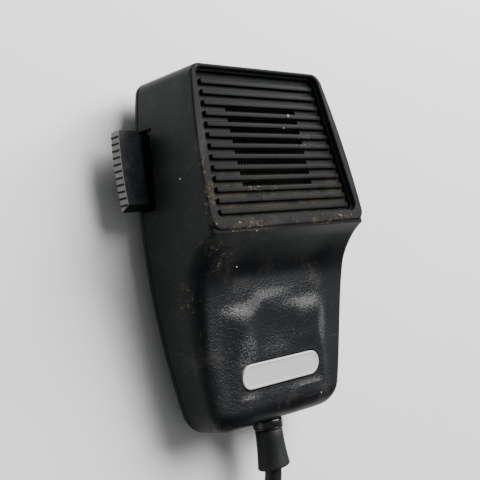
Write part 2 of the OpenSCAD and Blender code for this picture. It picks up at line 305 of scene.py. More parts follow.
def add_camera():
    forward = Vector((0.714, 0.053, -0.699)).normalized()
    right = forward.cross(Vector((0.065, 0.988, 0.142))).normalized()
    up = right.cross(forward)
    turn = Matrix((right, up, -forward)).transposed().to_4x4()
    data = bpy.data.cameras.new("camera")
    data.lens = 67.5
    data.sensor_width = 36
    data.clip_start = 0.01
    camera = add_object("camera", data)
    camera.matrix_world = Matrix.Translation((-0.1894, -0.0200, 0.1979)) @ turn
    bpy.context.scene.camera = camera


add_camera()


# ---------------------------------------------------------------- cord

LEAD = [(0, -41, 12.7), (0, -46, 12.7), (0, -51, 12.7), (0, -56, 12.7), (0, -61, 12.7),
        (0, -66, 12.7), (-0.2, -71, 12.7), (-0.7, -75, 12.6), (-1.6, -80.2, 11.8),
        (-3, -85.7, 10.4), (-6.6, -90.4, 8.9), (-10.3, -93.3, 7.7)]
TAIL = [(7.5, -93.9, 6.7), (0.7, -95.4, 6.1), (-4.8, -99.6, 6.2), (-7.5, -104.2, 7.3),
        (-8.4, -108.4, 8.6), (-8.5, -112.4, 9), (-8.5, -118, 9), (-8.5, -123.2, 9)]
COIL_CENTRE = Vector((0, -130.6, 7))
COIL_R = 38.0
COIL_TURNS = 38
COIL_TURN_R = 4.45
TURN_POINTS = 20
CORD_STEP = 1.4  # between points of the finished line
CORD_JOINS = ((26, 66), (776, 822))  # points round the coil's two ends
COIL_START = math.radians(112)
COIL_SWEEP = math.radians(318)


def coil_points():
    """The curly stretch, wound round a ring, easing in from the lead and out to the tail."""
    points = []
    total = COIL_TURNS * TURN_POINTS
    phase = math.pi
    for k in range(total + 1):
        t = k / total
        ease = step(-0.004, 0.022, t) * step(-0.004, 0.022, 1 - t)
        phase += 2 * math.pi / TURN_POINTS * (0.25 + 0.75 * ease)
        a = COIL_START + COIL_SWEEP * t
        r = COIL_TURN_R * ease
        out = COIL_R + r * math.cos(phase)
        points.append(COIL_CENTRE + Vector((out * math.cos(a), out * math.sin(a), r * math.sin(phase))))
    return points


def eased(points, passes=2):
    """More points along the same way, with its corners rounded."""
    for _ in range(passes):
        finer = [points[0]]
        for a, b in zip(points, points[1:]):
            finer += [a.lerp(b, 0.25), a.lerp(b, 0.75)]
        points = finer + [points[-1]]
    return points


def evenly(points, gap):
    """Points the same way apart along the line through the given ones."""
    spaced = [points[0]]
    wanted = gap
    passed = 0.0
    for a, b in zip(points, points[1:]):
        stretch = (b - a).length
        while stretch > 0 and wanted <= passed + stretch:
            spaced.append(a.lerp(b, (wanted - passed) / stretch))
            wanted += gap
        passed += stretch
    return spaced


def relaxed(points, spans, passes=30):
    """The joins of lead, coil and tail eased out."""
    for _ in range(passes):
        before = list(points)
        for first, last in spans:
            for k in range(first, last):
                pull = 0.5 * math.sin(math.pi * (k - first) / (last - first)) ** 2
                points[k] = before[k].lerp((before[k - 1] + before[k + 1]) / 2, pull)
    return points


def add_cord():
    coil = coil_points()
    path = eased([Vector(p) for p in LEAD] + coil[:6]) + coil[6:-6]
    path += eased(coil[-6:] + [Vector(p) for p in TAIL])
    last = path[-1]
    path = relaxed(evenly(path, CORD_STEP), CORD_JOINS)
    path = [place * MM for place in path[:-1] + [last]]
    cord = tube("cord_jacket", path, CORD_R, 4)
    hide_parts("cord_lead", "curly_cord", "cord_tail")
    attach(cord, "case")
    return cord


cord_jacket = add_cord()


# ---------------------------------------------------------------- case outline

SIDE_ROWS = ([40 + 0.8 * k for k in range(12)]
             + [49.4, 50, 50.5, 51, 51.5, 51.9, 52.2, 52.5, 52.8, 53.1, 53.5, 54, 55, 56.5])


def side_x(y, inset=0.0):
    return SIDE_X + math.sqrt((SIDE_R - inset) ** 2 - (y - WIDEST_Y) ** 2)


def outline(inset):
    """The case seen from the front, as points from the middle of the cord end, to the right."""
    low_r, top_r = max(LOW_R - inset, 0.5), max(TOP_R - inset, 0.5)
    low_y, top_y = LOW_Y + inset + low_r, TOP_Y - inset - top_r
    reach = SIDE_R - inset
    low_x = SIDE_X + math.sqrt((reach - low_r) ** 2 - (low_y - WIDEST_Y) ** 2)
    top_x = SIDE_X + math.sqrt((reach - top_r) ** 2 - (top_y - WIDEST_Y) ** 2)
    low_a = math.atan2(low_y - WIDEST_Y, low_x - SIDE_X)
    top_a = math.atan2(top_y - WIDEST_Y, top_x - SIDE_X)
    half = [(low_x * k / 12, LOW_Y + inset) for k in range(12)]
    for k in range(11):
        a = -math.pi / 2 + (low_a + math.pi / 2) * k / 10
        half.append((low_x + low_r * math.cos(a), low_y + low_r * math.sin(a)))
    start = half[-1][1]
    half += [(side_x(y, inset), y) for y in (start + (40 - start) * k / 20 for k in range(1, 20))]
    half += [(side_x(y, inset), y) for y in SIDE_ROWS]
    end = top_y + top_r * math.sin(top_a)
    half += [(side_x(y, inset), y) for y in (58 + (end - 58) * k / 16 for k in range(16))]
    for k in range(9):
        a = top_a + (math.pi / 2 - top_a) * k / 8
        half.append((top_x + top_r * math.cos(a), top_y + top_r * math.sin(a)))
    half += [(top_x * (1 - k / 12), TOP_Y - inset) for k in range(1, 13)]
    return half + [(-x, y) for x, y in reversed(half[1:-1])]


EDGE_HEIGHT = curve_through([(-0.6, 14.7), (5, 15.2), (14, 15.9), (24.6, 16.95), (35, 18.6),
                             (41.6, 20.3), (45, 22), (47.6, 23.9), (50.1, 26.2), (51.6, 28.1),
                             (52.5, 29.45)])
PAD_HEIGHT = curve_through([(-1, 14.5), (4.4, 15.25), (13.3, 16.6), (22, 17.9), (29, 19.2),
                            (31.5, 19.85), (33.6, 20.1), (34.9, 19.85), (36.6, 18.8), (39, 17.0),
                            (47, 14.0)])
INNER_HEIGHT = curve_through([(2.6, 11.6), (5, 12.5), (14, 13.4), (24.6, 14.2), (35, 14.9), (41.6, 15.4),
                              (46, 17.4), (50.5, 20.5), (53, 22.4), (56, 23.0)])


def face_height(y, w):
    return FACE_Z + w - (y - FACE_Y) * math.tan(FACE_TILT)


def front_height(x, y):
    """Height of the front before its edges are rounded off."""
    if y > 52.6:
        return face_height(y, -0.6)
    middle = 1 - step(15, 24, abs(x))
    scoop = EDGE_HEIGHT(y) - SCOOP_DEPTH * middle * math.exp(-((y - SCOOP_Y) / 4.4) ** 2)
    crest = CREST_Y - CREST_BEND * step(3, 11, abs(x + 3))
    pad = PAD_HEIGHT(y + CREST_Y - crest)
    pad -= DISH_DEPTH * math.exp(-(x / 12.5) ** 4 - ((y - 25) / 8.5) ** 2)
    # The higher of the two, run softly into each other
    over = 0.5 * (scoop + pad + math.sqrt((scoop - pad) ** 2 + 0.16))
    mask = 1 - step(14.5, 23.5, abs(x))
    flat = step(20.5, 19.2, y) * step(18.5, 16.6, abs(x)) * step(7.5, 8.8, y)
    high = scoop + mask * (over - scoop)
    return high + flat * (PLATE_SEAT_Z + (y - PLATE_Y) * math.tan(PLATE_TILT) - high)


def edge_round(x, y):
    """How far the front's edge is rounded: most beside the scoop, least on the right."""
    usual = EDGE_R + 3.0 * step(53, 49, y) + 1.3 * math.exp(-((y - 44.5) / 4.5) ** 2)
    return usual + (EDGE_R - usual) * 0.9 * step(18, 27, x)


def front_point(x, y, inset):
    r = edge_round(x, y)
    drop = r - math.sqrt(max(r * r - max(r - inset, 0) ** 2, 0))
    return front_height(x, y) - drop


def shell_rings():
    """Outlines over the front, down the sides, round the seam and back up inside."""
    deep = [24, 22.6, 21.2, 19.8, 18.4, 17, 15.8, 14.6, 13.4, 12.2, 11, 10, 9, 8, 7.2, 6.4, 5.6]
    near = [4.9, 4.3, 3.7, 3.1, 2.6, 2.1, 1.65, 1.25, 0.9, 0.6, 0.35, 0.15, 0.04, 0]
    rings = [[at(0, y, front_point(0, y, 24)) for _, y in outline(24)]]
    rings += [[at(x, y, front_point(x, y, d)) for x, y in outline(d)] for d in deep + near]
    brink = outline(0)
    for k in range(1, 8):
        t = 1 - k / 8
        rings.append([at(x, y, FOOT_Z + (front_point(x, y, 0) - FOOT_Z) * t) for x, y in brink])
    rings.append([at(x, y, FOOT_Z) for x, y in brink])
    rings.append([at(x, y, 2.86) for x, y in outline(0.18)])
    rings.append([at(x, y, SEAM_Z) for x, y in outline(0.4)])
    rings.append([at(x, y, SEAM_Z) for x, y in outline(WALL)])

    def inner(y):
        return INNER_HEIGHT(y) if y < 56 else face_height(y, -6.4)
    for k in range(1, 5):
        rings.append([at(x, y, SEAM_Z + (min(inner(y), 22) - 1.5 - SEAM_Z) * k / 4)
                      for x, y in outline(WALL)])
    for d in (2.6, 3.6, 8, 14, 20, 24):
        rings.append([at(x, y, inner(y) - (0.5 if d < 3 else 0)) for x, y in outline(d)])
    rings.append([at(0, y, inner(y)) for _, y in outline(24)])
    return rings


# ---------------------------------------------------------------- grille frame

FACE = Matrix.Translation(at(0, FACE_Y, FACE_Z)) @ Matrix.Rotation(-FACE_TILT, 4, "X")


def face_half(v):
    return 31 - 4.8 * v / 46.83 - 1.4


def frame_loop(low, high, half, low_r, top_r, w):
    """A rounded outline in the grille plane with the same number of points for any size."""
    right = []
    for k in range(11):
        right.append(((half(low) - low_r) * k / 10, low))
    for k in range(1, 9):
        a = -math.pi / 2 + math.pi / 2 * k / 8
        right.append((half(low + low_r) - low_r + low_r * math.cos(a), low + low_r + low_r * math.sin(a)))
    for k in range(1, 21):
        v = low + low_r + (high - top_r - low - low_r) * k / 20
        right.append((half(v), v))
    for k in range(1, 9):
        a = math.pi / 2 * k / 8
        right.append((half(high - top_r) - top_r + top_r * math.cos(a),
                      high - top_r + top_r * math.sin(a)))
    for k in range(1, 11):
        right.append(((half(high) - top_r) * (1 - k / 10), high))
    loop = right + [(-x, v) for x, v in reversed(right[1:-1])]
    return [FACE @ (Vector((x, v, w)) * MM) for x, v in loop]


def outer_half(v):
    return side_x(FACE_Y + v * math.cos(FACE_TILT)) + 0.03


def rim_rings():
    def outer(shrink, w):
        return frame_loop(0.25 + shrink, 46.32 - shrink, lambda v: outer_half(v) - shrink,
                          3.2 - shrink, 4.0 - shrink, w)

    def inner(grow, w):
        return frame_loop(3.3 - grow, 45.2 + grow, lambda v: face_half(v) + grow, 2.5 + grow,
                          2.5 + grow, w)
    brink, lip = outer(0.6, 0), inner(0.42, 0)
    quarter, far = [[a.lerp(b, t) for a, b in zip(brink, lip)] for t in (0.22, 0.78)]
    rings = [outer(0, -2.9), outer(0, -0.62), outer(0.06, -0.36), outer(0.22, -0.14), outer(0.45, -0.02),
             brink, quarter, far, lip, inner(0.24, -0.05), inner(0.08, -0.2), inner(0, -0.42),
             inner(0, -1.3), inner(-0.08, -1.45), inner(-0.42, -1.5), inner(-0.5, -1.6),
             inner(-0.5, -SEAT + 0.02), inner(0.6, -SEAT + 0.02)]
    return rings + rings[:1]


def stadium_rings(length, width, profile, matrix, sides=20):
    """A long round-ended plate as rings of (shrink, height)."""
    rings = []
    for shrink, w in profile:
        ring = []
        for side in (1, -1):
            for k in range(sides + 1):
                a = -math.pi / 2 + math.pi * k / sides
                r = width / 2 - shrink
                ring.append(matrix @ (Vector((side * ((length - width) / 2 + r * math.cos(a)),
                                              side * r * math.sin(a), w)) * MM))
        rings.append(ring)
    return rings


PLATE = Matrix.Translation(at(0, PLATE_Y, PLATE_Z)) @ Matrix.Rotation(PLATE_TILT, 4, "X")


def add_shell():
    shell = loft("case_shell", shell_rings(), closed=True)
    recess = loft("recess", [frame_loop(3.1, 45.4, lambda v: face_half(v) + 0.2, 2.7, 2.7, w)
                             for w in (-SEAT, 4)])
    cut(shell, recess)
    cut(shell, settle(rod("window", Vector((0, 23.5, -SEAT - 1.5)) * MM, 17.6, 4, 72), FACE))
    cut(shell, block("bar_opening", at(-36, 62.1, -1), at(-26.7, 84.8, 8.7)))
    cut(shell, loft("plate_seat", stadium_rings(33.4, 7.9, [(0, -0.8), (0, 3)], PLATE)))
    cut(shell, settle(rod("cord_seat", at(0, 1, CORD_Z), 3.8, 8, 48, (math.pi / 2, 0, 0))))
    cut(shell, block("cord_gate", at(-3.8, -3, -1), at(3.8, 5, CORD_Z)))
    rim = loft("rim", rim_rings(), closed=True)
    shell = join("case_shell", [shell, rim])
    smooth(shell, 34)
    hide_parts("front_shell")
    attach(shell, "case")
    return shell


def add_cover():
    rings = [[at(0, y, 0) for _, y in outline(24)]]
    rings += [[at(x, y, 0) for x, y in outline(d)] for d in (24, 16, 8, 2.5)]
    rings += [[at(x, y, z) for x, y in outline(d)]
              for d, z in ((1.9, 0.07), (1.35, 0.28), (0.88, 0.6), (0.5, 1.0), (0.2, 1.52), (0.05, 2.0),
                           (0, 2.45), (0.12, 2.68), (0.4, 2.77), (8, 2.78), (16, 2.78), (24, 2.78))]
    rings.append([at(0, y, 2.78) for _, y in outline(24)])
    cover = loft("back_cover", rings, closed=True)
    panel = block("panel", at(-15, 14, -1), at(15, 40, 0.4))
    cut(cover, soften(panel, 2, 4))
    for x, y in ((-20, 10), (20, 10), (-22, 89.5), (22, 89.5)):
        cut(cover, settle(rod("screw_well", at(x, y, 0.3), 3, 2.6, 40)))
    smooth(cover, 34)
    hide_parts("rear_cover")
    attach(cover, "case")
    return cover


def rib_bar():
    """One rib of the grille, 20 mm long, with its top edges rounded."""
    rib = block("rib", Vector((-10, -0.74, -SEAT + 1.3)) * MM, Vector((10, 0.74, -1.85)) * MM)
    return soften(rib, 0.24, 3)


def add_grille():
    panel = loft("grille_panel", [frame_loop(3.42, 45.08, lambda v: face_half(v) - 0.12, 2.4, 2.4, w)
                                  for w in (-SEAT + 0.02, FLOOR_W)])
    cutters = []
    for i in range(2, 10):
        v = RIB_TOP_V - RIB_PITCH * (i + 0.5)  # between two ribs
        low, high = Vector((-14.5, v - 0.55, -6)), Vector((14.5, v + 0.55, 2))
        cutters.append(block("slot", low * MM, high * MM))
    tool = settle(join("cutters", cutters), FACE)
    cut(panel, tool)
    template = rib_bar()
    ribs = []
    for i in range(RIB_COUNT):
        v = RIB_TOP_V - RIB_PITCH * i
        rib = duplicate(template)
        reach = face_half(v) - 1.3
        for vertex in rib.data.vertices:
            side = 1 if vertex.co.x > 0 else -1
            vertex.co.x += side * (reach - 10 - (1.7 if side < 0 else 0)) * MM
            vertex.co.y += v * MM
        ribs.append(settle(rib, FACE))
    bpy.data.objects.remove(template)
    panel = join("grille_panel", [panel] + ribs)
    smooth(panel, 40)
    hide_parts("grille_insert")
    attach(panel, "case")
    return panel


def add_slot_mesh():
    """Fine bars of the sieve seen through the sound slots."""
    v = RIB_TOP_V - RIB_PITCH * 9.5
    bar = block("sieve", Vector((-14.2, v - 0.6, -4.36)) * MM, Vector((-13.85, v + 0.6, -3.5)) * MM)
    soften(bar, 0.08, 1)
    apply_modifier(bar, "ARRAY", count=25, use_relative_offset=False, use_constant_offset=True,
                   constant_offset_displace=(1.17 * MM, 0, 0))
    apply_modifier(bar, "ARRAY", count=8, use_relative_offset=False, use_constant_offset=True,
                   constant_offset_displace=(0, RIB_PITCH * MM, 0))
    settle(bar, FACE)
    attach(bar, "case")
    return smooth(bar)


def add_badge():
    badge = loft("name_plate_blank", stadium_rings(
        32.5, 7, [(0.05, -0.75), (0, -0.1), (0.05, 0.06), (0.18, 0.16), (0.42, 0.2), (0.62, 0.16),
                  (0.75, 0.1), (0.95, 0.08), (1.6, 0.08)], PLATE))
    smooth(badge, 30)
    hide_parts("name_plate")
    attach(badge, "case")
    return badge


# ---------------------------------------------------------------- talk bar

def add_bar():
    bar = block("talk_bar_cap", at(BAR_OUT, BAR_Y - BAR_HALF, BAR_BACK),
                at(BAR_IN, BAR_Y + BAR_HALF, BAR_FRONT))
    pick(bar)
    bpy.ops.object.mode_set(mode="EDIT")
    for k in range(1, 12):
        bpy.ops.mesh.select_all(action="SELECT")
        bpy.ops.mesh.bisect(plane_co=at(0, BAR_Y - BAR_HALF + 2 * BAR_HALF * k / 12, 0), plane_no=(0, 1, 0))
    bpy.ops.object.mode_set(mode="OBJECT")
    middle = at(0, BAR_Y, 0).y
    for vertex in bar.data.vertices:
        # The outer face is bowed, and the lower end leans
        if vertex.co.x < -35 * MM:
            vertex.co.x += (vertex.co.y - middle) ** 2 / 0.2
        if vertex.co.z > 10 * MM and vertex.co.y < middle - 10.9 * MM:
            vertex.co.y += 1.6 * MM
    soften(bar, 0.55, 4, angle_limit=math.radians(60))
    stem = soften(block("stem", at(-32.6, BAR_Y - 10.4, 3.2), at(-24.9, BAR_Y + 10.4, 4.3)), 0.2)
    flange = soften(block("flange", at(-26.3, 59.8, BAR_BACK), at(-24.7, 86.2, BAR_FRONT)), 0.2)
    peg = rod("peg", at(-23.9, SPRING_Y, SPRING_Z), 1.0, 2, 24, (0, math.pi / 2, 0))
    soften(settle(peg), 0.15)
    bar = join("talk_bar_cap", [bar, stem, flange, peg])
    smooth(bar, 34)
    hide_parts("ptt_bar")
    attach(bar, "talk_bar")
    return bar


def add_pips():
    """Rows of small round pips on the bar's outer face."""
    pip = soften(settle(rod("pip", (0, 0, 0), 0.3, 0.7, 12, (0, math.pi / 2, 0))), 0.1)
    pips = []
    for row in range(11):
        for column in range(4):
            one = duplicate(pip)
            y = (row - 5) * 1.85
            one.location = at(BAR_OUT + y * y / 200 - 0.02, BAR_Y + y, 4.95 + (column - 1.5) * 0.8)
            pips.append(settle(one))
    bpy.data.objects.remove(pip)
    grip = join("talk_bar_pips", pips)
    smooth(grip, 40)
    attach(grip, "talk_bar")
    return grip


def add_spring():
    """The bar's return spring, drawn at rest; the real one shortens as the bar goes in."""
    steps = SPRING_TURNS * TURN_POINTS
    turns = [2 * math.pi * k / TURN_POINTS for k in range(steps + 1)]
    spring = tube("return_spring", [at(-24.5 + 9.6 * k / steps, SPRING_Y + 1.6 * math.cos(a),
                                       SPRING_Z + 1.6 * math.sin(a)) for k, a in enumerate(turns)],
                  0.25, 2)
    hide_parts("ptt_spring")
    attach(spring, "case")
    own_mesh(spring)
    return spring


# ---------------------------------------------------------------- cord end

CORD_END = at(0, 0, CORD_Z)


def add_collar():
    profile = [(-3.3, 2.56), (-3.3, 4.5), (-3.1, 4.6), (-1.8, 4.6), (-1.7, 3.72), (0.64, 3.72),
               (0.68, 4.0), (0.78, 4.25), (0.95, 4.38), (1.2, 4.42), (2.7, 4.42), (2.85, 4.36),
               (2.92, 4.2), (3.0, 4.18), (3.08, 4.34), (3.2, 4.38), (3.36, 4.32), (3.5, 4.1),
               (3.56, 3.8), (3.56, 2.56)]
    collar = turned("cord_collar", profile, CORD_END, 56)
    smooth(collar, 40)
    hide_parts("cord_bushing")
    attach(collar, "case")
    return collar


def add_sleeve():
    def slant(x, along):
        return -x * 0.13 * step(9, 14.2, along)
    profile = [(3.6, 2.58), (3.6, 3.7), (3.7, 3.92), (3.95, 4.05), (6, 4.08), (8, 4.16), (10, 4.3),
               (12, 4.5), (13, 4.62), (13.8, 4.72), (14.25, 4.76), (14.42, 4.68), (14.48, 4.5),
               (14.4, 3.6), (14.0, 2.6)]
    sleeve = turned("cord_boot", profile, CORD_END, 56, slant)
    smooth(sleeve, 40)
    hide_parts("cord_sleeve")
    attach(sleeve, "case")
    return sleeve


case_shell = add_shell()
back_cover = add_cover()
grille_panel = add_grille()
slot_sieve = add_slot_mesh()
badge = add_badge()
talk_bar_cap = add_bar()
talk_bar_pips = add_pips()
return_spring = add_spring()
cord_collar = add_collar()
cord_boot = add_sleeve()


# ---------------------------------------------------------------- shader groups

FLOAT = "NodeSocketFloat"
VECTOR = "NodeSocketVector"


def give(tree, socket, value):
    """Join a socket to what feeds it, or set its value."""
    if isinstance(value, bpy.types.NodeSocket):
        tree.links.new(value, socket)
    else:
        socket.default_value = value


def wire(tree, kind, inputs=None, **settings):
    """Add a node, set its values and join what it is given to its sockets."""
    node = tree.nodes.new(kind)
    for key, value in settings.items():
        setattr(node, key, value)
    for key, value in (inputs or {}).items():
        give(tree, node.inputs[key], value)
    return node


def new_group(name, inputs, outputs):
    group = bpy.data.node_groups.new(name, "ShaderNodeTree")
    for label, kind, value in inputs:
        socket = group.interface.new_socket(name=label, in_out="INPUT", socket_type=kind)
        if value is not None:
            socket.default_value = value
    for label, kind in outputs:
        group.interface.new_socket(name=label, in_out="OUTPUT", socket_type=kind)
    return group, group.nodes.new("NodeGroupInput").outputs, group.nodes.new("NodeGroupOutput").inputs


def math_node(tree, operation, a, b=0.0, c=0.0, clamp=False):
    node = tree.nodes.new("ShaderNodeMath")
    node.operation = operation
    node.use_clamp = clamp
    for socket, value in zip(node.inputs, (a, b, c)):
        give(tree, socket, value)
    return node.outputs[0]


def times(tree, a, b, clamp=False):
    return math_node(tree, "MULTIPLY", a, b, clamp=clamp)


def plus(tree, a, b, clamp=False):
    return math_node(tree, "ADD", a, b, clamp=clamp)


def larger(tree, a, b):
    return math_node(tree, "MAXIMUM", a, b)


def scaled(tree, value, factor, offset, clamp=False):
    return math_node(tree, "MULTIPLY_ADD", value, factor, offset, clamp=clamp)


def noise(tree, place, scale, detail, **more):
    values = {"Vector": place, "Scale": scale, "Detail": detail, **more}
    return wire(tree, "ShaderNodeTexNoise", values).outputs[0]


def ramp(tree, value, low, high):
    node = wire(tree, "ShaderNodeMapRange", {"Value": value, "From Min": low, "From Max": high},
                interpolation_type="SMOOTHSTEP")
    return node.outputs["Result"]


def make_pebble():
    """Pebbled leather grain, as a height."""
    group, given, out = new_group("pebble_grain", [("Vector", VECTOR, None), ("Size", FLOAT, 900.0)],
                                  [("Height", FLOAT)])
    cells = wire(group, "ShaderNodeTexVoronoi", {"Vector": given["Vector"], "Scale": given["Size"]},
                 feature="SMOOTH_F1")
    cells.inputs["Smoothness"].default_value = 0.7
    creases = noise(group, given["Vector"], times(group, given["Size"], 0.6), 3.0, Distortion=0.4)
    height = plus(group, times(group, cells.outputs["Distance"], -0.8), creases)
    group.links.new(height, out["Height"])
    return group


def make_dust():
    """Patchy dust: broad drifts broken up by fine grains."""
    group, given, out = new_group("dust_film", [("Vector", VECTOR, None), ("Scale", FLOAT, 120.0),
                                                ("Amount", FLOAT, 0.5)], [("Mask", FLOAT)])
    broad = noise(group, given["Vector"], given["Scale"], 4.0, Roughness=0.6)
    fine = noise(group, given["Vector"], times(group, given["Scale"], 9.0), 5.0, Roughness=0.7)
    mix = plus(group, times(group, broad, 0.6), times(group, fine, 0.4))
    low = math_node(group, "SUBTRACT", 0.92, given["Amount"])
    high = plus(group, low, 0.16)
    group.links.new(ramp(group, mix, low, high), out["Mask"])
    return group


def make_specks():
    """Single pale grains far apart."""
    group, given, out = new_group("pale_specks", [("Vector", VECTOR, None), ("Scale", FLOAT, 160.0),
                                                  ("Size", FLOAT, 0.09), ("Share", FLOAT, 0.12)],
                                  [("Mask", FLOAT)])
    cells = wire(group, "ShaderNodeTexVoronoi", {"Vector": given["Vector"], "Scale": given["Scale"]})
    near = math_node(group, "LESS_THAN", cells.outputs["Distance"], given["Size"])
    split = wire(group, "ShaderNodeSeparateColor", {"Color": cells.outputs["Color"]})
    few = math_node(group, "LESS_THAN", split.outputs[0], given["Share"])
    group.links.new(times(group, near, few), out["Mask"])
    return group


def make_scratches():
    """Fine straight marks in two directions."""
    group, given, out = new_group("fine_scratches", [("Vector", VECTOR, None), ("Scale", FLOAT, 60.0)],
                                  [("Mask", FLOAT)])
    lines = []
    for turn, stretch in ((0.6, (1, 26, 26)), (-0.9, (22, 1, 22))):
        place = wire(group, "ShaderNodeMapping", {"Vector": given["Vector"]})
        place.inputs["Rotation"].default_value = (0.2, 0.3, turn)
        place.inputs["Scale"].default_value = stretch
        lines.append(ramp(group, noise(group, place.outputs[0], given["Scale"], 2.0), 0.70, 0.76))
    group.links.new(larger(group, lines[0], lines[1]), out["Mask"])
    return group


def make_edge_wear():
    """Rubbed edges, broken up along their length."""
    group, given, out = new_group("edge_wear", [("Vector", VECTOR, None), ("Scale", FLOAT, 200.0)],
                                  [("Mask", FLOAT)])
    sharp = ramp(group, group.nodes.new("ShaderNodeNewGeometry").outputs["Pointiness"], 0.53, 0.58)
    broken = ramp(group, noise(group, given["Vector"], given["Scale"], 5.0), 0.38, 0.62)
    group.links.new(times(group, sharp, broken, clamp=True), out["Mask"])
    return group


PEBBLE = make_pebble()
EDGE_WEAR = make_edge_wear()
DUST = make_dust()
SPECKS = make_specks()
SCRATCHES = make_scratches()


def use(tree, group, **values):
    node = tree.nodes.new("ShaderNodeGroup")
    node.node_tree = group
    for key, value in values.items():
        give(tree, node.inputs[key], value)
    return node.outputs[0]


def tint(tree, mask, base, over):
    """Base colour, covered by another where the mask is 1."""
    node = tree.nodes.new("ShaderNodeMix")
    node.data_type = "RGBA"
    for socket, value in ((node.inputs[0], mask), (node.inputs[6], base), (node.inputs[7], over)):
        give(tree, socket, value)
    return node.outputs[2]


def new_material(name):
    material = bpy.data.materials.new(name)
    material.use_nodes = True
    tree = material.node_tree
    shader = tree.nodes["Principled BSDF"]
    place = tree.nodes.new("ShaderNodeTexCoord").outputs["Object"]
    return material, tree, shader, place


def bump(tree, shader, height, strength, distance):
    node = wire(tree, "ShaderNodeBump", {"Height": height, "Strength": strength, "Distance": distance})
    tree.links.new(node.outputs[0], shader.inputs["Normal"])


def paint(tree, shader, colour, rough, gloss=0.5):
    give(tree, shader.inputs["Base Color"], colour)
    give(tree, shader.inputs["Roughness"], rough)
    shader.inputs["Specular IOR Level"].default_value = gloss


def facing(tree):
    """The surface's normal, as three separate values."""
    normal = tree.nodes.new("ShaderNodeNewGeometry").outputs["Normal"]
    return wire(tree, "ShaderNodeSeparateXYZ", {"Vector": normal}).outputs


def blob(tree, place, centre, reach):
    """1 inside a soft ball round a place given in millimetres on the case."""
    scale = wire(tree, "ShaderNodeMapping", {"Vector": place}, vector_type="TEXTURE")
    scale.inputs["Location"].default_value = at(*centre)
    scale.inputs["Scale"].default_value = Vector(reach) * MM
    length = wire(tree, "ShaderNodeVectorMath", {0: scale.outputs[0]}, operation="LENGTH")
    return ramp(tree, length.outputs["Value"], 1.0, 0.25)


def patches(tree, place, spots):
    """1 inside any of several soft balls."""
    near = None
    for centre, reach in spots:
        ball = blob(tree, place, centre, reach)
        near = ball if near is None else larger(tree, near, ball)
    return near


BROWN = (0.13, 0.10, 0.066, 1)
MUD = (0.075, 0.06, 0.04, 1)
CRUMB = (0.34, 0.28, 0.18, 1)
PALE = (0.55, 0.5, 0.4, 1)
GREY_DUST = (0.16, 0.15, 0.13, 1)
SCUFF = (0.045, 0.048, 0.05, 1)
# Pale grey for the painted highlights on the pad's grain
GLINT_GREY = (0.13, 0.13, 0.135, 1)

# Middle and reach of each patch of dirt: the rim's left side and lower corner, the edge
# below it, the lip under the grille and the corner by the cord
DIRT = [((-30, 62, 29), (6, 16, 5)), ((-29, 50, 26), (8, 8, 7)), ((-31.5, 36, 15), (3, 12, 9)),
        ((-18, 54.2, 29.8), (20, 4.2, 3)), ((14, 54.4, 29.8), (26, 3.6, 3)),
        ((-24, 46, 22), (8, 7, 6)), ((-22, 1, 10), (9, 8, 8)), ((31, 54, 29), (3, 4, 4)),
        ((-30.5, 71, 28.5), (3.5, 7, 4))]


# ---------------------------------------------------------------- materials

